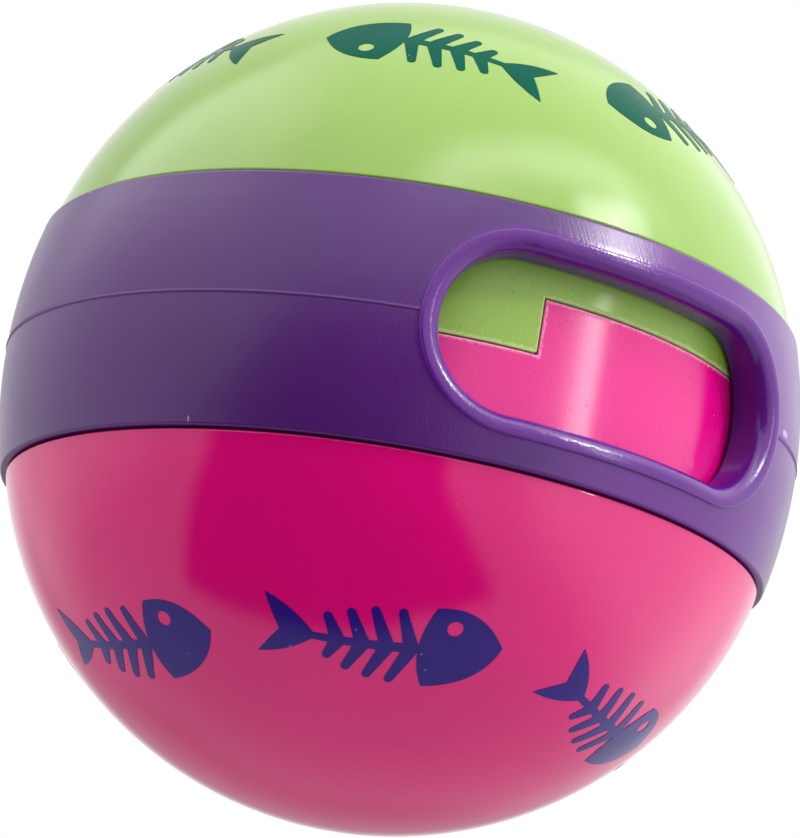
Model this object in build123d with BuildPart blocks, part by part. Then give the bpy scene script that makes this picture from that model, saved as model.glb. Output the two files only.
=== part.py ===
"""Treat dispensing ball: two domed halves with keyed necks, and a ring that turns round the necks.

The halves meet at a stepped edge inside the ring. A key tab on the upper neck drops into a recess of the
lower neck, so the notches that both necks carry at the back always line up as one treat outlet. Turning the
ring brings its window over that outlet. The upper half pulls straight out of the ring for filling.

Frame: millimetres, origin at the ball's centre, +Z along the turning axis through the upper half's pole.
At rest the ring's window faces -Y and the outlet faces +Y, shut off by the ring. Angles round the ball are
degrees about +Z, counted from the middle of the window.
"""

from build123d import *

import os
from math import acos, asin, cos, degrees, pi, radians, sin, sqrt

# Domes
dome_radius = 36.6
dome_centre_height = 2.55  # each dome's centre lies this far from the equator
dome_wall = 2.2
dome_edge_round = 0.2

# Ring
ring_height = 23.4
ring_proud = 0.5  # the ring's edge stands this far outside the dome's edge
ring_bulge = 1.5  # the equator stands this far outside the ring's edges
ring_wall = 2.65  # at the ring's edges
ring_edge_round = 0.3
bore_edge_round = 0.4
parting_line_rise = 0.09
parting_line_width = 0.4

# Window in the ring, with its rounded rim
window_length = 36.3  # straight across, where its ends come out of the ring
window_band = 4.45  # the ring's height left above and below the window
rim_width = 2.0
rim_rise = 0.25
rim_inner_round_share = 0.7  # of the rim's width
rim_outer_round_share = 0.8  # of the rim's rise

# Necks and their stepped, keyed edge
neck_wall = 2.0
rim_drop = 2.55  # the upper neck's rim lies this far below the window's upper edge
key_reach = 0.4  # how far the key tab reaches below the equator
step_angle = -13.2  # the key tab's side that shows in the window
key_angle = 50.0  # the key tab's width round the neck
key_corner_round = 0.25
neck_rim_round = 0.12

# Treat outlet at the back of the necks
outlet_width = 26.0
outlet_sill = 0.8  # the outlet's edges lie this far inside the window's
outlet_corner_round = 1.0

# Snap bead on the lower neck and grip ribs on the upper neck
bead_radius = 0.9
bead_rise = 0.6
rib_count = 12
rib_radius = 0.8
rib_end_gap = 0.8  # between a rib's ends and the edges of the band that it grips

# Clearances
seam_gap = 0.12  # between the ring's edges and the domes' shoulders
running_gap = 0.25  # between a neck and the ring's bore, and round the snap bead
grip_gap = 0.05  # between the grip ribs and the ring's bore
key_gap = 0.15  # between the two necks, along the whole stepped edge
cut_overrun = 2.0  # how far cutting shapes reach past what they cut

# Heights and radii worked out from the sizes above
ring_half_height = ring_height / 2
shoulder_height = ring_half_height + seam_gap
dome_edge_radius = sqrt(dome_radius**2 - (shoulder_height - dome_centre_height) ** 2)
ring_edge_radius = dome_edge_radius + ring_proud
ring_radius = ring_edge_radius + ring_bulge
bore_radius = ring_edge_radius - ring_wall
neck_radius = bore_radius - running_gap
neck_bore = neck_radius - neck_wall
dome_inner_radius = dome_radius - dome_wall
neck_bore_top = dome_centre_height + sqrt(dome_inner_radius**2 - neck_bore**2)
pole_height = dome_centre_height + dome_radius
barrel_radius = (ring_half_height**2 + ring_bulge**2) / (2 * ring_bulge)
barrel_centre = ring_radius - barrel_radius
window_height = ring_height - 2 * window_band
window_end_angle = degrees(asin(window_length / 2 / ring_radius) - asin(window_height / 2 / ring_radius))
outlet_height = window_height - 2 * outlet_sill
band_middle = ring_half_height - window_band / 2
bead_centre_radius = neck_radius + bead_rise - bead_radius
key_gap_angle = degrees(key_gap / neck_radius)
key_tab_bottom = -key_reach
upper_rim = window_height / 2 - rim_drop
recess_floor = key_tab_bottom - key_gap
lower_rim = upper_rim - key_gap
notch_top = lower_rim + outlet_corner_round + cut_overrun  # the lower neck's notch is open at its rim


def meridian(angle):
    """The half plane through the axis at that angle: local x points outwards and local y up."""
    turn = radians(angle - 90)
    return Plane(origin=(0, 0, 0), x_dir=(cos(turn), sin(turn), 0), z_dir=(sin(turn), -cos(turn), 0))


def off_axis(edge):
    """Distance of an edge's middle from the ball's axis."""
    middle = edge.position_at(0.5)
    return sqrt(middle.X**2 + middle.Y**2)


def on_cylinder(edge, radius):
    """True for an edge that runs along a cylinder of that radius round the ball's axis."""
    return abs(off_axis(edge) - radius) < grip_gap / 2


def half_shell_outline(side, rim_height):
    """Half section of a dome and its neck down to rim_height; side is 1 for the upper half, else -1."""
    shoulder = side * shoulder_height
    bore_top = side * neck_bore_top
    outer_pole = (0, side * pole_height)
    inner_pole = (0, side * (pole_height - dome_wall))
    outer_lean = pi / 4
    inner_lean = (acos(neck_bore / dome_inner_radius) + pi / 2) / 2
    outer_middle = (
        dome_radius * cos(outer_lean),
        side * (dome_centre_height + dome_radius * sin(outer_lean)),
    )
    inner_middle = (
        dome_inner_radius * cos(inner_lean),
        side * (dome_centre_height + dome_inner_radius * sin(inner_lean)),
    )
    ThreePointArc(outer_pole, outer_middle, (dome_edge_radius, shoulder))
    Polyline((dome_edge_radius, shoulder), (neck_radius, shoulder), (neck_radius, rim_height))
    Polyline((neck_radius, rim_height), (neck_bore, rim_height), (neck_bore, bore_top))
    ThreePointArc((neck_bore, bore_top), inner_middle, inner_pole)
    Line(inner_pole, outer_pole)


def neck_wall_section(low, high):
    """A rectangle across the neck's wall between two heights, to cut the neck's edge back."""
    with Locations((neck_radius - neck_wall / 2, (low + high) / 2)):
        Rectangle(neck_wall + 2 * running_gap, high - low)


def barrel_outline(inner_radius, rise):
    """Half section from inner_radius to the ring's barrel shaped outside, moved outwards by rise."""
    outer_radius = barrel_radius + rise
    edge = barrel_centre + sqrt(outer_radius**2 - ring_half_height**2)
    lower_edge = (edge, -ring_half_height)
    upper_edge = (edge, ring_half_height)
    ThreePointArc(lower_edge, (ring_radius + rise, 0), upper_edge)
    Polyline(upper_edge, (inner_radius, ring_half_height), (inner_radius, -ring_half_height), lower_edge)


def window_block(height):
    """A round ended block of the given height along the window, from inside the bore to outside the ring."""
    inner = bore_radius / 2
    reach = ring_radius + cut_overrun
    with BuildPart() as block:
        with BuildSketch(meridian(-window_end_angle)):
            with Locations(((inner + reach) / 2, 0)):
                Rectangle(reach - inner, height)
        revolve(axis=Axis.Z, revolution_arc=2 * window_end_angle)
        for angle in (-window_end_angle, window_end_angle):
            outwards = meridian(angle).x_dir
            with BuildSketch(Plane(origin=outwards * inner, x_dir=(0, 0, 1), z_dir=outwards)):
                Circle(height / 2)
            extrude(amount=reach - inner)
    return block.part


# Upper half: dome, neck with the key tab, its part of the outlet, and the grip ribs
with BuildPart() as upper_half:
    with BuildSketch(meridian(180)):
        with BuildLine():
            half_shell_outline(1, key_tab_bottom)
        make_face()
    revolve(axis=Axis.Z)
    fillet(upper_half.edges().filter_by(GeomType.CIRCLE).sort_by(off_axis)[-1], dome_edge_round)
    with BuildSketch(meridian(step_angle - key_gap_angle / 2)):
        neck_wall_section(key_tab_bottom - cut_overrun, upper_rim)
    revolve(axis=Axis.Z, revolution_arc=360 - key_angle + key_gap_angle, mode=Mode.SUBTRACT)
    key_corners = upper_half.edges().filter_by(Plane.XY).filter_by(GeomType.LINE).group_by(Axis.Z)[0]
    fillet(key_corners, key_corner_round)
    with BuildSketch(Plane.XZ.offset(-neck_radius)):
        RectangleRounded(outlet_width, outlet_height, outlet_corner_round)
    extrude(amount=neck_bore, mode=Mode.SUBTRACT)
    neck_edges = upper_half.edges().filter_by(lambda e: on_cylinder(e, neck_radius))
    fillet(neck_edges.filter_by_position(Axis.Z, key_tab_bottom, outlet_height / 2), neck_rim_round)
    with BuildSketch(Plane.XY.offset(band_middle)):
        with PolarLocations(bore_radius - grip_gap - rib_radius, rib_count):
            Circle(rib_radius)
    extrude(amount=window_band / 2 - rib_end_gap, both=True)
upper_half.part.label = "upper_half"

# Lower half: dome, neck with the key recess, its part of the outlet, and the snap bead
with BuildPart() as lower_half:
    with BuildSketch(meridian(180)):
        with BuildLine():
            half_shell_outline(-1, lower_rim)
        make_face()
    revolve(axis=Axis.Z)
    fillet(lower_half.edges().filter_by(GeomType.CIRCLE).sort_by(off_axis)[-1], dome_edge_round)
    with BuildSketch(meridian(step_angle - key_angle - key_gap_angle / 2)):
        neck_wall_section(recess_floor, lower_rim + cut_overrun)
    revolve(axis=Axis.Z, revolution_arc=key_angle + key_gap_angle, mode=Mode.SUBTRACT)
    with BuildSketch(Plane.XZ.offset(-neck_radius)):
        with Locations((0, (notch_top - outlet_height / 2) / 2)):
            RectangleRounded(outlet_width, notch_top + outlet_height / 2, outlet_corner_round)
    extrude(amount=neck_bore, mode=Mode.SUBTRACT)
    neck_edges = lower_half.edges().filter_by(lambda e: on_cylinder(e, neck_radius))
    fillet(neck_edges.filter_by_position(Axis.Z, -outlet_height / 2, lower_rim), neck_rim_round)
    with BuildSketch(meridian(180)):
        with Locations((bead_centre_radius, -band_middle)):
            Circle(bead_radius)
    revolve(axis=Axis.Z)
lower_half.part.label = "lower_half"

# The raised rim round the window, before the window is cut through it
window_cut = window_block(window_height)
rim_block = window_block(window_height + 2 * rim_width)

with BuildPart() as window_rim:
    add(rim_block)
    with BuildSketch(meridian(180)):
        with BuildLine():
            barrel_outline(bore_radius + ring_wall / 2, rim_rise)
        make_face()
    revolve(axis=Axis.Z, mode=Mode.INTERSECT)
    fillet(window_rim.faces().sort_by(Axis.Y)[0].edges(), rim_rise * rim_outer_round_share)

# Ring: barrel shaped band with its mould's parting line, the snap groove and the rimmed window
with BuildPart() as ring:
    with BuildSketch(meridian(180)):
        with BuildLine():
            barrel_outline(bore_radius, 0)
        make_face()
    revolve(axis=Axis.Z)
    edge_circles = ring.edges().filter_by(GeomType.CIRCLE).filter_by(Plane.XY).group_by(off_axis)
    fillet(edge_circles[-1], ring_edge_round)
    fillet(edge_circles[0], bore_edge_round)
    with BuildSketch(meridian(180)):
        with BuildLine():
            Polyline(
                (ring_radius - parting_line_rise, -parting_line_width),
                (ring_radius + parting_line_rise, 0),
                (ring_radius - parting_line_rise, parting_line_width),
                close=True,
            )
        make_face()
    revolve(axis=Axis.Z)
    with BuildSketch(meridian(180)):
        with Locations((bead_centre_radius, -band_middle)):
            Circle(bead_radius + running_gap)
    revolve(axis=Axis.Z, mode=Mode.SUBTRACT)
    add(window_rim.part)
    add(window_cut, mode=Mode.SUBTRACT)
    rim_edges = ring.edges(Select.LAST).filter_by(lambda e: off_axis(e) > ring_edge_radius)
    fillet(rim_edges, rim_width * rim_inner_round_share)
    bore_edges = ring.edges().filter_by(lambda e: on_cylinder(e, bore_radius))
    window_edges = bore_edges.filter_by_position(Axis.Z, -band_middle, band_middle)
    fillet(window_edges.filter_by_position(Axis.Y, -bore_radius, 0), bore_edge_round)
ring.part.label = "ring"

os.makedirs("parts", exist_ok=True)
export_step(upper_half.part, "parts/upper_half.step")
export_step(lower_half.part, "parts/lower_half.step")
export_step(ring.part, "parts/ring.step")
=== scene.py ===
import math

import bpy
from mathutils import Matrix, Vector
from mathutils.geometry import delaunay_2d_cdt


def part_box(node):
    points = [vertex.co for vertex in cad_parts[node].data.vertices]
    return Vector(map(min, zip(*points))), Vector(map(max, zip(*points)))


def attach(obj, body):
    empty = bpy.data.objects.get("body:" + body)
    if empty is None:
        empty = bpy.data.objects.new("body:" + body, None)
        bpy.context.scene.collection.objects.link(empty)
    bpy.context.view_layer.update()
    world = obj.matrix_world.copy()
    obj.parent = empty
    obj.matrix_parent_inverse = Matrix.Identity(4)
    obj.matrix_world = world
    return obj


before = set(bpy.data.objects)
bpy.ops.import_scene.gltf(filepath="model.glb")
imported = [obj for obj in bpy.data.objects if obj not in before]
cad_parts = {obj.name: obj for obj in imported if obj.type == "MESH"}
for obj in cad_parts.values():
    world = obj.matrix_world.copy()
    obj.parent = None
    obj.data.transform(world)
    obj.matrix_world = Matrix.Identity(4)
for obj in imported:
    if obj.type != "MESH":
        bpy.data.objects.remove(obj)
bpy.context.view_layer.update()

MM = 0.001
IMAGE_HEIGHT = 838

# Sizes read from the frame, metres
POLE_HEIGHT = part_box("upper_half")[1].z
FLOOR_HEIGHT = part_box("lower_half")[0].z
UPPER_KEY_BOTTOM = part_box("upper_half")[0].z
LOWER_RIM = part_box("lower_half")[1].z
RING_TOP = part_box("ring")[1].z

# Sizes of the solids that their boxes don't give. Angles are degrees round the ball; those of the step and of
# the window's end are counted from the window's middle.
DOME_RADIUS = 36.6 * MM
NECK_RADIUS = 33.0 * MM
KEY_GAP = 0.15 * MM
STEP_ANGLE = -13.2
KEY_ANGLE = 50.0
RING_RADIUS = 37.4 * MM
RING_BULGE = 1.5 * MM
WINDOW_LENGTH = 36.3 * MM
WINDOW_HEIGHT = 14.5 * MM
RIM_WIDTH = 2.0 * MM
DOME_CENTRE = POLE_HEIGHT - DOME_RADIUS
UPPER_RIM = LOWER_RIM + KEY_GAP
RECESS_FLOOR = UPPER_KEY_BOTTOM - KEY_GAP
WINDOW_END_ANGLE = math.degrees(
    math.asin(WINDOW_LENGTH / 2 / RING_RADIUS) - math.asin(WINDOW_HEIGHT / 2 / RING_RADIUS)
)
NECK_MM_PER_DEGREE = math.radians(1) * NECK_RADIUS / MM
RING_MM_PER_DEGREE = math.radians(1) * RING_RADIUS / MM

# The photograph's viewing angle
CAMERA_AZIMUTH = -32.45
CAMERA_ELEVATION = -14.8
CAMERA_ROLL = 9.29
CAMERA_DISTANCE = 11 * DOME_RADIUS
CAMERA_CLIP = 10 * MM
FOCAL_LENGTH_PIXELS = 4284.2
SENSOR_SIZE = 36.0

# Studio: a white tent, dim below and bright above, changing between two heights on the unit sphere
TENT_LEVELS = (0.72, 1.77)
TENT_RISE = (-0.40, 0.70)
BACKDROP_LEVEL = 1.0
WHITE = (1, 1, 1, 1)
# Panels of the tent: brightness, softness of the edges in degrees, and the corners (azimuth, elevation),
# anticlockwise as seen from outside; the gaps are the tent's dark opening round the camera
RIGHT_WALL = (1.55, 12, ((110, 1), (8, 3), (8, -22), (110, -22)))
LEFT_WALL = (1.15, 10, ((-108, 14), (-172, 14), (-172, -12), (-108, -12)))
LEFT_SOFTBOX = (2.8, 10, ((-95, 62), (-158, 62), (-158, 22), (-95, 32)))
BACK_WALL = (1.0, 5, ((-160, 55), (128, 55), (130, -5), (-160, -5)))
BACK_FLOOR = (0.5, 8, ((-178, 0), (132, 0), (132, -36), (-178, -36)))
TOP_SOFTBOX = (5.5, 9, ((58, 54), (-38, 56), (-38, 44), (58, 44)))
CAMERA_GAP = (0.02, 3.5, ((-19, 16), (-68, 16), (-119, -44), (-10, -66)))
CAMERA_GAP_RIGHT = (0.02, 3.5, ((-22, -15), (-60, -25), (-70, -64), (20, -46)))
KEY_HALO = (10, 4, ((49, 47), (21, 49), (21, 42), (49, 42)))
KEY_PANEL = (24, 2, ((32, 41.5), (24, 41.5), (24, 35), (32, 35)))
STRIP_LIGHT = (17, 0.8, ((29.8, 32), (26.6, 32), (26.6, 6), (29.8, 6)))
# A panel lies over those before it
STUDIO_PANELS = (
    RIGHT_WALL, LEFT_WALL, LEFT_SOFTBOX, BACK_WALL, BACK_FLOOR, TOP_SOFTBOX, CAMERA_GAP, CAMERA_GAP_RIGHT,
    KEY_HALO, KEY_PANEL, STRIP_LIGHT
)
# Lamps: direction, strength, and spread in degrees
TABLE_BOUNCE = ((-50, -60), 1.1, 170)
KEY_LAMP = ((32, 38), 0.85, 6)

# Materials. Colours are linear red, green and blue. A texture's scale counts features per millimetre, and
# reliefs, reaches and depths are millimetres. A pair named range or angles runs from where a mark ends to
# where it is full. Specks are given by their scale, a dot's radius, and the share of cells that hold one.
SOFT_DETAIL = 2.0
FINE_DETAIL = 3.0
HAZE_DETAIL = 4.0
CLOUD_RANGE = (0.3, 0.7)
SPECK_CORE_SHARE = 0.5

# Plastic of the two halves
GREEN_PALE = (0.188, 0.324, 0.049)
GREEN_DEEP = (0.179, 0.308, 0.045)
GREEN_NECK = (0.200, 0.340, 0.045)
GREEN_SCUFF = (0.50, 0.58, 0.25)
PINK_PALE = (0.555, 0.001, 0.139)
PINK_DEEP = (0.525, 0.001, 0.131)
PINK_NECK = (0.560, 0.001, 0.172)
PINK_SCUFF = (0.85, 0.35, 0.52)
HALF_IOR = 1.54
HALF_CLOUD_SCALE = 0.07
HALF_HAZE_SCALE = 0.25
HALF_SKIN_SCALE = 1.2
HALF_SKIN_RELIEF = 0.001
DOME_ROUGHNESS = (0.04, 0.10)
DOME_RIPPLE_SCALE = 0.12
DOME_RIPPLE_RELIEF = 0.03
DUST_SPECKS = (0.3, 0.11, 0.25)
DUST_STRENGTH = 0.25
# Reflections are drawn out along the ball's axis: a quarter turn from the way round it
HALF_ANISOTROPY = 1.0
HALF_ANISOTROPY_TURN = 0.25
# The neck begins under the ring's edge, with drag marks that are fine round it and long along it
NECK_FADE = 0.2
NECK_ROUGHNESS = (0.23, 0.30)
DRAG_SCALE_ROUND = 3.0
DRAG_SCALE_ALONG = 0.12
DRAG_RELIEF = 0.0015
PIT_SPECKS = (1.3, 0.12, 0.3)
PIT_DEPTH = 0.035
SCUFF_RANGE = (0.1, -0.25)
SCUFF_STRENGTH = 0.6
SCUFF_ROUGHNESS = 0.3
CRUMBLE_SCALE = 3.5
CRUMBLE_REACH = 0.6
CRUMBLE_RELIEF = 0.05

# Plastic of the ring
PURPLE_PALE = (0.060, 0.0055, 0.121)
PURPLE_DEEP = (0.053, 0.0045, 0.108)
# Painted light: the paler purple of the side of the window towards the key lamp
PURPLE_PAINTED_LIGHT = (0.086, 0.007, 0.165)
# Painted light: a brighter violet for the window's rim, standing for light caught on its rounding
PURPLE_RIM_PAINTED_LIGHT = (0.079, 0.0055, 0.168)
PURPLE_NICK = (0.45, 0.35, 0.55)
RING_IOR = 1.47
RING_ROUGHNESS = (0.25, 0.33)
RING_CLOUD_SCALE = 0.06
RING_HAZE_SCALE = 0.2
RING_GRAIN_SCALE = 4.0
RING_GRAIN_RELIEF = 0.006
RING_WAVE_SCALE = 0.15
RING_WAVE_RELIEF = 0.04
# The outer skin, by the depth under the barrel, and the parting line, by the height
SKIN_RANGE = (0.9, 0.4)
PARTING_RANGE = (0.4, 0.15)
PARTING_ROUGHNESS = 0.25
# The window's rim; its look reaches a little past it
RIM_MARGIN = 0.05
RIM_FADE = 0.6
RIM_ROUGHNESS = (0.13, 0.20)
RIM_GRAIN_RELIEF = 0.016
# Finger strokes round the window, and painted light: a paler patch on the side of the window towards the key
# lamp
STROKE_ANGLES = (48.0, 28.0)
STROKE_SLANT = 0.35
STROKE_SCALE_ROUND = 5.0
STROKE_SCALE_ALONG = 0.45
STROKE_RELIEF = 0.014
PAINTED_LIGHT_MIDDLE = 18.0
PAINTED_LIGHT_ANGLES = (36.0, 16.0)
# Nicks: azimuth in degrees, then height, half width and half height
RING_NICKS = ((36.0, 0.8, 0.9, 0.35), (-92.0, 11.45, 0.14, 0.16), (-62.5, -11.25, 0.08, 0.3))
NICK_RANGE = (1.4, 0.8)
NICK_CRUMBLE = 0.6
NICK_STRENGTH = 0.6
NICK_RELIEF = 0.05

# Inks; the shine is the specular level
TEAL_PALE = (0.002, 0.074, 0.048)
TEAL_DEEP = (0.001, 0.066, 0.042)
TEAL_SHINE = 0.02
VIOLET_PALE = (0.021, 0.005, 0.150)
VIOLET_DEEP = (0.017, 0.004, 0.138)
VIOLET_SHINE = 0.3
INK_RUBBED = (0.6, 0.5, 0.6)
INK_SPECKS = (0.9, 0.12, 0.2)
INK_SPECK_STRENGTH = 0.2
INK_CLOUD_SCALE = 0.4
INK_HAZE_SCALE = 0.6
INK_ROUGHNESS = (0.08, 0.2)
INK_IOR = 1.5

# Floor
FLOOR_RADIUS = 10 * DOME_RADIUS
FLOOR_SIDES = 96
FLOOR_FADE = (160.0, 330.0)
FLOOR_DEEP = (0.80, 0.80, 0.80)
FLOOR_PALE = (0.84, 0.84, 0.84)
FLOOR_CLOUD_SCALE = 0.02
FLOOR_ROUGHNESS = 0.7

# Print: fishbone figure, millimetres from its middle, x towards the nose and y towards the equator; a bar's
# widths are those at its root and at its tip
PRINT_LIFT = 0.035 * MM
PRINT_DEPTH = 0.06 * MM
PRINT_GRAIN = 0.8
PRINT_CREASE = 40.0
MERGE_DISTANCE = 1e-5
CURVE_STEPS = 12
BAR_END_STEPS = 8
EYE_STEPS = 20
NOSE = (10.3, 0.1)
HEAD_TOP = (4.3, 4.0)
HEAD_CHIN = (3.6, -3.85)
HEAD_BROW = (8.4, 4.4)
HEAD_JAW = (8.6, -3.6)
HEAD_BACK = (2.0, 0.0)
EYE_PLACE = (6.0, 2.1)
EYE_RADIUS = 0.72
SPINE_HEAD_END = (4.0, 0.0)
SPINE_TAIL_END = (-7.6, 0.0)
SPINE_WIDTHS = (1.0, 0.65)
# Ribs: root on the spine, then height and backward slope of the near rib and of the far rib
RIBS = (
    (2.4, 3.4, 0.30, 3.3, 0.5),
    (0.3, 3.35, 0.39, 3.05, 0.5),
    (-1.85, 2.9, 0.42, 2.5, 0.5),
    (-4.0, 2.2, 0.48, 1.65, 0.5),
)
RIB_WIDTHS = (1.35, 0.8)
TAIL_ROOT = (-6.2, 0.35)
TAIL_FLANK = (-8.2, 2.5)
TAIL_TIP = (-10.7, 3.2)
TAIL_HOLLOW = (-10.0, 1.5)
TAIL_NOTCH = (-9.1, 0.0)
FAR_LOBE_SHARE = 0.85
# Azimuth and latitude of each figure's middle, and its tilt
UPPER_PRINTS = (
    (-96.8, 44.8, -1.2),
    (-37.0, 43.5, -8.9),
    (17.7, 43.5, 8.5),
    (80.0, 43.0, 4.0),
    (141.0, 43.0, -5.0),
    (203.0, 42.0, 3.0),
)
LOWER_PRINTS = (
    (-85.2, 45.3, -1.8),
    (-28.7, 42.6, 4.6),
    (27.9, 44.5, -6.7),
    (89.0, 44.0, 2.0),
    (148.0, 44.0, -4.0),
    (209.0, 43.0, 4.0),
)


def direction(azimuth, elevation):
    """Unit vector from the ball's centre; azimuth 0 is the window's side, 90 the +X side."""
    turn = math.radians(azimuth)
    lift = math.radians(elevation)
    return Vector((math.sin(turn) * math.cos(lift), -math.cos(turn) * math.cos(lift), math.sin(lift)))


def facing_matrix(place, back, roll=0.0):
    """Matrix of a camera at place that looks against back, with the ball's axis leaning by roll."""
    upright = (Vector((0, 0, 1)) - back * back.z).normalized()
    sideways = upright.cross(back)
    lean = math.radians(roll)
    up = upright * math.cos(lean) - sideways * math.sin(lean)
    right = up.cross(back)
    matrix = Matrix((right, up, back)).transposed().to_4x4()
    matrix.translation = place
    return matrix


def add_object(name, data):
    thing = bpy.data.objects.new(name, data)
    bpy.context.scene.collection.objects.link(thing)
    return thing


def new_mesh(name, points, faces, material):
    mesh = bpy.data.meshes.new(name)
    mesh.from_pydata(points, [], faces)
    mesh.materials.append(material)
    return mesh


def add_camera():
    data = bpy.data.cameras.new("camera")
    data.sensor_fit = "VERTICAL"
    data.sensor_height = SENSOR_SIZE
    data.lens = SENSOR_SIZE * FOCAL_LENGTH_PIXELS / IMAGE_HEIGHT
    data.clip_start = CAMERA_CLIP
    camera = add_object("camera", data)
    back = direction(CAMERA_AZIMUTH, CAMERA_ELEVATION)
    camera.matrix_world = facing_matrix(back * CAMERA_DISTANCE, back, CAMERA_ROLL)
    bpy.context.scene.camera = camera


class NodeKit:
    """Adds nodes to a node tree and joins them in short calls; a value is a socket or a constant."""

    def __init__(self, tree):
        self.tree = tree
        self.nodes = tree.nodes

    def feed(self, socket, value):
        if isinstance(value, bpy.types.NodeSocket):
            self.tree.links.new(value, socket)
        else:
            socket.default_value = value

    def add(self, kind, settings, inputs):
        node = self.nodes.new(kind)
        for name, value in settings.items():
            setattr(node, name, value)
        for name, value in inputs.items():
            self.feed(node.inputs[name], value)
        return node

    def calc(self, operation, *values):
        node = self.nodes.new("ShaderNodeMath")
        node.operation = operation
        for socket, value in zip(node.inputs, values):
            self.feed(socket, value)
        return node.outputs["Value"]

    def total(self, *values):
        result = values[0]
        for value in values[1:]:
            result = self.calc("ADD", result, value)
        return result

    def product(self, *values):
        result = values[0]
        for value in values[1:]:
            result = self.calc("MULTIPLY", result, value)
        return result

    def difference(self, first, second):
        return self.calc("SUBTRACT", first, second)

    def absolute(self, value):
        return self.calc("ABSOLUTE", value)

    def span(self, x, y):
        """Length of the flat vector x, y."""
        return self.calc("SQRT", self.total(self.product(x, x), self.product(y, y)))

    def vector(self, operation, first, second):
        node = self.nodes.new("ShaderNodeVectorMath")
        node.operation = operation
        self.feed(node.inputs[0], first)
        self.feed(node.inputs["Scale" if operation == "SCALE" else 1], second)
        return node.outputs["Value" if operation == "DOT_PRODUCT" else "Vector"]

    def step(self, value, low, high):
        """0 where value is at low or beyond, 1 where it is at high or beyond, and smooth between them."""
        settings = {"interpolation_type": "SMOOTHSTEP"}
        inputs = {"Value": value, "From Min": low, "From Max": high}
        return self.add("ShaderNodeMapRange", settings, inputs).outputs["Result"]

    def blend(self, factor, first, second):
        """A number between first and second."""
        inputs = {"Value": factor, "To Min": first, "To Max": second}
        return self.add("ShaderNodeMapRange", {}, inputs).outputs["Result"]

    def colour(self, factor, first, second):
        """A colour between first and second."""
        node = self.nodes.new("ShaderNodeMix")
        node.data_type = "RGBA"
        factor_socket, first_socket, second_socket = [s for s in node.inputs if s.enabled]
        self.feed(factor_socket, factor)
        self.feed(first_socket, first if isinstance(first, bpy.types.NodeSocket) else (*first, 1))
        self.feed(second_socket, (*second, 1))
        return [s for s in node.outputs if s.enabled][0]

    def noise(self, place, scale, detail=SOFT_DETAIL):
        inputs = {"Vector": place, "Scale": scale, "Detail": detail}
        return self.add("ShaderNodeTexNoise", {}, inputs).outputs["Fac"]

    def clouded(self, place, scale, deep, pale, detail=SOFT_DETAIL):
        """A colour that drifts between deep and pale."""
        return self.colour(self.step(self.noise(place, scale, detail), *CLOUD_RANGE), deep, pale)

    def specks(self, place, scale, radius, share):
        """1 in round dots of that radius, in a share of the cells, 0 elsewhere."""
        node = self.add("ShaderNodeTexVoronoi", {}, {"Vector": place, "Scale": scale})
        chosen = self.calc("LESS_THAN", self.split(node.outputs["Color"])[0], share)
        edge = radius * scale
        near = self.step(node.outputs["Distance"], edge, edge * SPECK_CORE_SHARE)
        return self.product(near, chosen)

    def split(self, vector):
        node = self.add("ShaderNodeSeparateXYZ", {}, {"Vector": vector})
        return node.outputs["X"], node.outputs["Y"], node.outputs["Z"]

    def join(self, x, y, z):
        return self.add("ShaderNodeCombineXYZ", {}, {"X": x, "Y": y, "Z": z}).outputs["Vector"]

    def bump(self, height):
        """Normal of a relief whose height is in millimetres."""
        inputs = {"Height": height, "Distance": MM, "Strength": 1.0}
        return self.add("ShaderNodeBump", {}, inputs).outputs["Normal"]

    def mix_shaders(self, factor, first, second):
        node = self.nodes.new("ShaderNodeMixShader")
        for socket, value in zip(node.inputs, (factor, first, second)):
            self.feed(socket, value)
        return node.outputs["Shader"]

    def place_mm(self):
        """The point on the surface, in millimetres of the piece's own frame."""
        place = self.nodes.new("ShaderNodeTexCoord").outputs["Object"]
        return self.vector("SCALE", place, 1 / MM)

    def turn(self, place):
        """Angle of the point round the ball, degrees from the window's middle."""
        x, y, _ = self.split(place)
        return self.calc("DEGREES", self.calc("ARCTAN2", x, self.product(y, -1.0)))


def panel_mask(kit, towards, softness, corners):
    """1 in the panel between those corners, 0 outside, with soft edges."""
    inside = 1.0
    soft = math.sin(math.radians(softness))
    ends = [direction(*corner) for corner in corners]
    for start, end in zip(ends, ends[1:] + ends[:1]):
        side = start.cross(end).normalized()
        depth = kit.vector("DOT_PRODUCT", towards, side)
        inside = kit.product(inside, kit.step(depth, -soft, soft))
    return inside


def add_world():
    """A white tent with brighter and darker panels; the camera itself sees plain white behind the ball."""
    world = bpy.data.worlds.new("studio")
    bpy.context.scene.world = world
    world.use_nodes = True
    kit = NodeKit(world.node_tree)
    towards = kit.nodes.new("ShaderNodeTexCoord").outputs["Generated"]
    _, _, height = kit.split(towards)
    level = kit.blend(kit.step(height, *TENT_RISE), *TENT_LEVELS)
    for brightness, softness, corners in STUDIO_PANELS:
        level = kit.blend(panel_mask(kit, towards, softness, corners), level, brightness)
    tent = kit.nodes["Background"]
    kit.feed(tent.inputs["Color"], WHITE)
    kit.feed(tent.inputs["Strength"], level)
    backdrop = kit.add("ShaderNodeBackground", {}, {"Color": WHITE, "Strength": BACKDROP_LEVEL})
    seen = kit.nodes.new("ShaderNodeLightPath").outputs["Is Camera Ray"]
    mixed = kit.mix_shaders(seen, tent.outputs["Background"], backdrop.outputs["Background"])
    kit.feed(kit.nodes["World Output"].inputs["Surface"], mixed)


def add_lamp(name, place, strength, spread):
    data = bpy.data.lights.new(name, "SUN")
    data.energy = strength
    data.angle = math.radians(spread)
    lamp = add_object(name, data)
    lamp.matrix_world = facing_matrix(Vector((0, 0, 0)), direction(*place))
    return lamp


def add_lamps():
    """The key, and soft light thrown back by the table, which leaves no reflection of its own."""
    add_lamp("key", *KEY_LAMP)
    add_lamp("table_bounce", *TABLE_BOUNCE).visible_glossy = False


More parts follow.
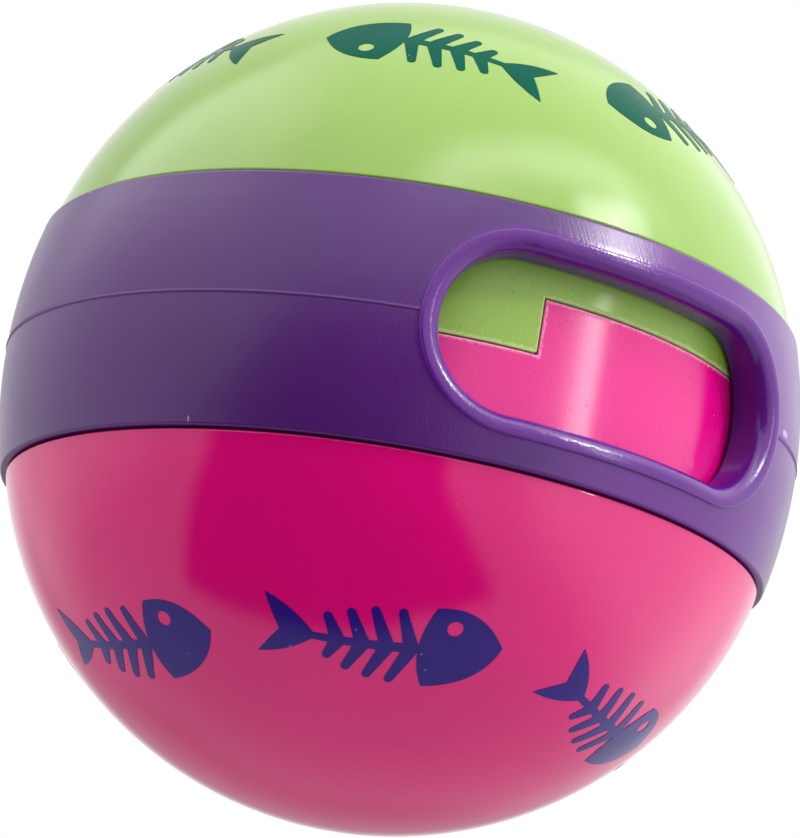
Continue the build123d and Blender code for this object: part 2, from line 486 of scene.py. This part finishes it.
def new_material(name):
    material = bpy.data.materials.new(name)
    material.use_nodes = True
    kit = NodeKit(material.node_tree)
    return material, kit, kit.nodes["Principled BSDF"]


def step_distance(kit, around, z, rim, key):
    """Distance in millimetres from a neck's stepped edge, whose two heights are rim and key, in metres."""
    arc = kit.difference(around, STEP_ANGLE * NECK_MM_PER_DEGREE)
    key_width = KEY_ANGLE * NECK_MM_PER_DEGREE
    in_key = kit.product(kit.calc("LESS_THAN", arc, 0.0), kit.calc("GREATER_THAN", arc, -key_width))
    height = kit.blend(in_key, rim / MM, key / MM)
    from_edge = kit.absolute(kit.difference(z, height))
    past_ends = kit.calc("MAXIMUM", kit.difference(z, rim / MM), kit.difference(key / MM, z))
    from_side = kit.calc("MAXIMUM", kit.absolute(arc), past_ends)
    return kit.calc("MINIMUM", from_edge, from_side)


def half_plastic(name, pale, deep, neck_tint, scuff, rim, key):
    """Glossy dome plastic; the neck inside the ring is satin, with drag marks and a scuffed stepped edge."""
    material, kit, shader = new_material(name)
    place = kit.place_mm()
    _, _, z = kit.split(place)
    around = kit.product(kit.turn(place), NECK_MM_PER_DEGREE)
    ring_top = RING_TOP / MM
    neck = kit.step(kit.absolute(z), ring_top, ring_top - NECK_FADE)
    dome = kit.blend(neck, 1.0, 0.0)

    dust = kit.specks(place, *DUST_SPECKS)
    drag_place = kit.join(kit.product(around, DRAG_SCALE_ROUND), kit.product(z, DRAG_SCALE_ALONG), 0.0)
    drag = kit.noise(drag_place, 1.0, FINE_DETAIL)
    pits = kit.product(kit.specks(place, *PIT_SPECKS), neck)
    crumble = kit.noise(place, CRUMBLE_SCALE, FINE_DETAIL)
    edge = kit.difference(step_distance(kit, around, z, rim, key), kit.product(crumble, CRUMBLE_REACH))
    scuffed = kit.product(kit.step(edge, *SCUFF_RANGE), neck)

    tint = kit.clouded(place, HALF_CLOUD_SCALE, deep, pale)
    tint = kit.colour(neck, tint, neck_tint)
    tint = kit.colour(kit.product(dust, DUST_STRENGTH), tint, scuff)
    tint = kit.colour(kit.product(scuffed, SCUFF_STRENGTH), tint, scuff)
    kit.feed(shader.inputs["Base Color"], tint)

    haze = kit.noise(place, HALF_HAZE_SCALE, HAZE_DETAIL)
    gloss = kit.blend(neck, kit.blend(haze, *DOME_ROUGHNESS), kit.blend(drag, *NECK_ROUGHNESS))
    kit.feed(shader.inputs["Roughness"], kit.total(gloss, kit.product(scuffed, SCUFF_ROUGHNESS)))
    shader.inputs["IOR"].default_value = HALF_IOR
    shader.inputs["Anisotropic"].default_value = HALF_ANISOTROPY
    shader.inputs["Anisotropic Rotation"].default_value = HALF_ANISOTROPY_TURN
    round_the_axis = kit.add("ShaderNodeTangent", {"direction_type": "RADIAL", "axis": "Z"}, {})
    kit.feed(shader.inputs["Tangent"], round_the_axis.outputs["Tangent"])

    relief = kit.total(
        kit.product(kit.noise(place, DOME_RIPPLE_SCALE), dome, DOME_RIPPLE_RELIEF),
        kit.product(kit.noise(place, HALF_SKIN_SCALE, FINE_DETAIL), HALF_SKIN_RELIEF),
        kit.product(drag, neck, DRAG_RELIEF),
        kit.product(crumble, scuffed, CRUMBLE_RELIEF),
        kit.product(pits, -PIT_DEPTH),
    )
    kit.feed(shader.inputs["Normal"], kit.bump(relief))
    return material


def ring_skin(kit, x, y, z):
    """1 on the outside of the ring's barrel, 0 deeper in the window's edges and in the bore."""
    fall_per_square = RING_BULGE * MM / RING_TOP**2
    barrel = kit.total(kit.span(x, y), kit.product(z, z, fall_per_square))
    return kit.step(kit.difference(RING_RADIUS / MM, barrel), *SKIN_RANGE)


def window_rim(kit, turn, z):
    """1 on the window's rim, 0 elsewhere on the ring."""
    past_straight = kit.difference(kit.absolute(turn), WINDOW_END_ANGLE)
    aside = kit.product(kit.calc("MAXIMUM", past_straight, 0.0), RING_MM_PER_DEGREE)
    reach = (WINDOW_HEIGHT / 2 + RIM_WIDTH) / MM + RIM_MARGIN
    return kit.step(kit.span(aside, z), reach + RIM_FADE, reach)


def ring_nicks(kit, around, z, grain):
    """1 in the nicks, whose edges crumble with the grain, 0 elsewhere."""
    nicks = 0.0
    for azimuth, height, half_width, half_height in RING_NICKS:
        aside = kit.product(kit.difference(around, azimuth * RING_MM_PER_DEGREE), 1 / half_width)
        above = kit.product(kit.difference(z, height), 1 / half_height)
        ellipse = kit.total(kit.product(aside, aside), kit.product(above, above))
        reach = kit.total(ellipse, kit.product(grain, NICK_CRUMBLE))
        nicks = kit.calc("MAXIMUM", nicks, kit.step(reach, *NICK_RANGE))
    return nicks


def ring_plastic(name, pale, deep, painted_light_tint, rim_painted_light_tint, nick_tint):
    """Satin plastic, brushed by fingers round the window, with a faint parting line and a few pale nicks;
    painted light makes it paler on the side of the window towards the key lamp and a brighter violet on the
    window's rim.
    """
    material, kit, shader = new_material(name)
    place = kit.place_mm()
    x, y, z = kit.split(place)
    turn = kit.turn(place)
    around = kit.product(turn, RING_MM_PER_DEGREE)
    skin = ring_skin(kit, x, y, z)
    rim = window_rim(kit, turn, z)

    grain = kit.noise(place, RING_GRAIN_SCALE, FINE_DETAIL)
    slanted = kit.product(kit.total(around, kit.product(z, STROKE_SLANT)), STROKE_SCALE_ROUND)
    stroke_place = kit.join(slanted, kit.product(z, STROKE_SCALE_ALONG), 0.0)
    near_window = kit.step(kit.absolute(turn), *STROKE_ANGLES)
    strokes = kit.product(kit.noise(stroke_place, 1.0, FINE_DETAIL), skin, near_window)
    parting = kit.product(kit.step(kit.absolute(z), *PARTING_RANGE), skin)
    # Painted light: a mask that is 1 round the side of the window towards the key lamp
    painted_light = kit.step(kit.absolute(kit.difference(turn, PAINTED_LIGHT_MIDDLE)), *PAINTED_LIGHT_ANGLES)
    nicks = kit.product(ring_nicks(kit, around, z, grain), skin)

    tint = kit.clouded(place, RING_CLOUD_SCALE, deep, pale)
    # Painted light: the ring made paler towards the key lamp
    tint = kit.colour(painted_light, tint, painted_light_tint)
    # Painted light: the window's rim made a brighter violet, for light caught on its rounding
    tint = kit.colour(rim, tint, rim_painted_light_tint)
    tint = kit.colour(kit.product(nicks, NICK_STRENGTH), tint, nick_tint)
    kit.feed(shader.inputs["Base Color"], tint)

    haze = kit.noise(place, RING_HAZE_SCALE, HAZE_DETAIL)
    satin = kit.total(kit.blend(haze, *RING_ROUGHNESS), kit.product(parting, PARTING_ROUGHNESS))
    kit.feed(shader.inputs["Roughness"], kit.blend(rim, satin, kit.blend(haze, *RIM_ROUGHNESS)))
    shader.inputs["IOR"].default_value = RING_IOR

    relief = kit.total(
        kit.product(grain, kit.blend(rim, RING_GRAIN_RELIEF, RIM_GRAIN_RELIEF)),
        kit.product(strokes, STROKE_RELIEF),
        kit.product(kit.noise(place, RING_WAVE_SCALE), RING_WAVE_RELIEF),
        kit.product(nicks, grain, NICK_RELIEF),
    )
    kit.feed(shader.inputs["Normal"], kit.bump(relief))
    return material


def ink(name, pale, deep, shine):
    """Printing ink, a little uneven, with rubbed specks; it mirrors less than the plastic under it."""
    material, kit, shader = new_material(name)
    place = kit.place_mm()
    rubbed = kit.specks(place, *INK_SPECKS)
    tint = kit.clouded(place, INK_CLOUD_SCALE, deep, pale, FINE_DETAIL)
    tint = kit.colour(kit.product(rubbed, INK_SPECK_STRENGTH), tint, INK_RUBBED)
    kit.feed(shader.inputs["Base Color"], tint)
    haze = kit.noise(place, INK_HAZE_SCALE, FINE_DETAIL)
    kit.feed(shader.inputs["Roughness"], kit.blend(haze, *INK_ROUGHNESS))
    shader.inputs["IOR"].default_value = INK_IOR
    shader.inputs["Specular IOR Level"].default_value = shine
    return material


def floor_material():
    """Pale floor that fades out at its rim, and can be looked through from below."""
    material, kit, shader = new_material("floor")
    place = kit.place_mm()
    x, y, _ = kit.split(place)
    faded = kit.step(kit.span(x, y), *FLOOR_FADE)
    below = kit.nodes.new("ShaderNodeNewGeometry").outputs["Backfacing"]
    clear = kit.calc("MAXIMUM", faded, below)
    tint = kit.colour(kit.noise(place, FLOOR_CLOUD_SCALE), FLOOR_DEEP, FLOOR_PALE)
    kit.feed(shader.inputs["Base Color"], tint)
    shader.inputs["Roughness"].default_value = FLOOR_ROUGHNESS
    transparent = kit.nodes.new("ShaderNodeBsdfTransparent")
    mixed = kit.mix_shaders(clear, shader.outputs["BSDF"], transparent.outputs["BSDF"])
    kit.feed(kit.nodes["Material Output"].inputs["Surface"], mixed)
    return material


def add_floor():
    """A disc under the ball for the camera alone; it throws no light, reflection or shadow on the ball."""
    angles = [math.tau * i / FLOOR_SIDES for i in range(FLOOR_SIDES)]
    points = [(FLOOR_RADIUS * math.cos(a), FLOOR_RADIUS * math.sin(a), FLOOR_HEIGHT) for a in angles]
    floor = add_object("floor", new_mesh("floor", points, [range(FLOOR_SIDES)], floor_material()))
    floor.visible_diffuse = False
    floor.visible_glossy = False
    floor.visible_shadow = False


def curve(start, bend, end):
    """Points of a quadratic curve from start towards end, without the end."""
    steps = [i / CURVE_STEPS for i in range(CURVE_STEPS)]
    a, b, c = Vector(start), Vector(bend), Vector(end)
    return [a * (1 - t) ** 2 + b * 2 * t * (1 - t) + c * t**2 for t in steps]


def bar(start, end, start_width, end_width):
    """Outline of a tapering bar with a round far end."""
    a, b = Vector(start), Vector(end)
    along = (b - a).normalized()
    across = Vector((-along.y, along.x))
    outline = [a - across * start_width / 2]
    for i in range(BAR_END_STEPS + 1):
        lean = math.pi * (i / BAR_END_STEPS - 0.5)
        outline.append(b + (along * math.cos(lean) + across * math.sin(lean)) * end_width / 2)
    outline.append(a + across * start_width / 2)
    return outline


def eye_outline():
    leans = [math.tau * i / EYE_STEPS for i in range(EYE_STEPS)]
    return [Vector(EYE_PLACE) + Vector((math.cos(a), math.sin(a))) * EYE_RADIUS for a in leans]


def head_outline():
    back = curve(HEAD_TOP, HEAD_BACK, HEAD_CHIN)
    return curve(NOSE, HEAD_BROW, HEAD_TOP) + back + curve(HEAD_CHIN, HEAD_JAW, NOSE)


def far_lobe(point):
    """The point of the tail's lobe away from the equator that answers to one of the near lobe."""
    return (point[0], -FAR_LOBE_SHARE * point[1])


def tail_outline():
    outline = curve(TAIL_ROOT, TAIL_FLANK, TAIL_TIP) + curve(TAIL_TIP, TAIL_HOLLOW, TAIL_NOTCH)
    outline += curve(TAIL_NOTCH, far_lobe(TAIL_HOLLOW), far_lobe(TAIL_TIP))
    outline += curve(far_lobe(TAIL_TIP), far_lobe(TAIL_FLANK), far_lobe(TAIL_ROOT))
    outline.append(Vector(far_lobe(TAIL_ROOT)))
    return outline


def fishbone_outlines():
    """The figure's outlines in millimetres: first the eye, then the pieces that are joined."""
    spine = bar(SPINE_HEAD_END, SPINE_TAIL_END, *SPINE_WIDTHS)
    pieces = [eye_outline(), head_outline(), tail_outline(), spine]
    for root, near_height, near_slope, far_height, far_slope in RIBS:
        near_tip = (root - near_slope * near_height, near_height)
        far_tip = (root - far_slope * far_height, -far_height)
        pieces.append(bar((root, 0.0), near_tip, *RIB_WIDTHS))
        pieces.append(bar((root, 0.0), far_tip, *RIB_WIDTHS))
    return pieces


def fine_outline(outline):
    """The outline with its long sides divided, so that it can follow the dome."""
    points = []
    for start, end in zip(outline, outline[1:] + outline[:1]):
        count = max(1, math.ceil((end - start).length / PRINT_GRAIN))
        points += [start.lerp(end, i / count) for i in range(count)]
    return points


def inner_grid():
    """Staggered points over the figure, which is less than half as high as it is long."""
    points = []
    reach = math.ceil(NOSE[0] / PRINT_GRAIN)
    for i in range(-reach, reach + 1):
        for j in range(-reach // 2, reach // 2 + 1):
            shift = 0.5 * (j % 2)
            points.append(Vector(((i + shift) * PRINT_GRAIN, j * PRINT_GRAIN)))
    return points


def fishbone_flat():
    """The joined figure, without the eye, as flat triangles: its points and faces."""
    points = []
    faces = []
    for outline in fishbone_outlines():
        outline = fine_outline(outline)
        turn_sum = sum(a.cross(b) for a, b in zip(outline, outline[1:] + outline[:1]))
        if turn_sum < 0:
            outline.reverse()
        faces.append(list(range(len(points), len(points) + len(outline))))
        points += outline
    points += inner_grid()
    flat, _, triangles, _, _, sources = delaunay_2d_cdt(points, [], faces, 0, MERGE_DISTANCE)
    kept = [tri for tri, source in zip(triangles, sources) if source and 0 not in source]
    used = sorted({index for tri in kept for index in tri})
    renumber = {old: new for new, old in enumerate(used)}
    return [flat[i] for i in used], [[renumber[i] for i in tri] for tri in kept]


def print_rays(flat, side, azimuth, latitude, tilt):
    """Unit vectors from the centre of a dome through the points of a figure on it."""
    outwards = direction(azimuth, side * latitude)
    sideways = Vector((0, 0, 1)).cross(outwards).normalized() * -side
    to_equator = outwards.cross(sideways)
    lean = math.radians(tilt)
    along = sideways * math.cos(lean) + to_equator * math.sin(lean)
    across = to_equator * math.cos(lean) - sideways * math.sin(lean)
    rays = []
    for s, t in flat:
        rise = math.sqrt((DOME_RADIUS / MM) ** 2 - s**2 - t**2)
        rays.append((outwards * rise + along * s + across * t).normalized())
    return rays


def add_prints(name, body, side, places, material):
    """Figures printed round a dome, as one mesh of thin closed shells that follow the dome."""
    flat, triangles = fishbone_flat()
    edges = {(a, b) for tri in triangles for a, b in zip(tri, tri[1:] + tri[:1])}
    border = sorted((a, b) for a, b in edges if (b, a) not in edges)
    centre = Vector((0, 0, side * DOME_CENTRE))
    # The printed faces get the normals of the dome, and a zero vector leaves the others their own
    own_normal = (0, 0, 0)
    points = []
    faces = []
    corner_normals = []
    for azimuth, latitude, tilt in places:
        rays = print_rays(flat, side, azimuth, latitude, tilt)
        top = len(points)
        bottom = top + len(rays)
        points += [centre + ray * (DOME_RADIUS + PRINT_LIFT) for ray in rays]
        points += [centre + ray * (DOME_RADIUS - PRINT_DEPTH) for ray in rays]
        printed = [[top + i for i in tri] for tri in triangles]
        hidden = [[bottom + i for i in reversed(tri)] for tri in triangles]
        hidden += [[top + b, top + a, bottom + a, bottom + b] for a, b in border]
        faces += printed + hidden
        corner_normals += [rays[i] for tri in triangles for i in tri]
        corner_normals += [own_normal for face in hidden for _ in face]
    mesh = new_mesh(name, points, faces, material)
    mesh.set_sharp_from_angle(angle=math.radians(PRINT_CREASE))
    mesh.normals_split_custom_set(corner_normals)
    piece = add_object(name, mesh)
    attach(piece, body)


def dress(node, material):
    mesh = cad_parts[node].data
    mesh.materials.clear()
    mesh.materials.append(material)


add_camera()
add_world()
add_lamps()
add_floor()
dress("upper_half", half_plastic(
    "green_plastic", GREEN_PALE, GREEN_DEEP, GREEN_NECK, GREEN_SCUFF, UPPER_RIM, UPPER_KEY_BOTTOM
))
dress("lower_half", half_plastic(
    "pink_plastic", PINK_PALE, PINK_DEEP, PINK_NECK, PINK_SCUFF, LOWER_RIM, RECESS_FLOOR
))
dress("ring", ring_plastic("purple_plastic", PURPLE_PALE, PURPLE_DEEP, PURPLE_PAINTED_LIGHT, PURPLE_RIM_PAINTED_LIGHT, PURPLE_NICK))
teal_ink = ink("teal_ink", TEAL_PALE, TEAL_DEEP, TEAL_SHINE)
violet_ink = ink("violet_ink", VIOLET_PALE, VIOLET_DEEP, VIOLET_SHINE)
add_prints("upper_prints", "upper_half", 1, UPPER_PRINTS, teal_ink)
add_prints("lower_prints", "lower_half", -1, LOWER_PRINTS, violet_ink)
bpy.context.scene.view_settings.view_transform = "Standard"
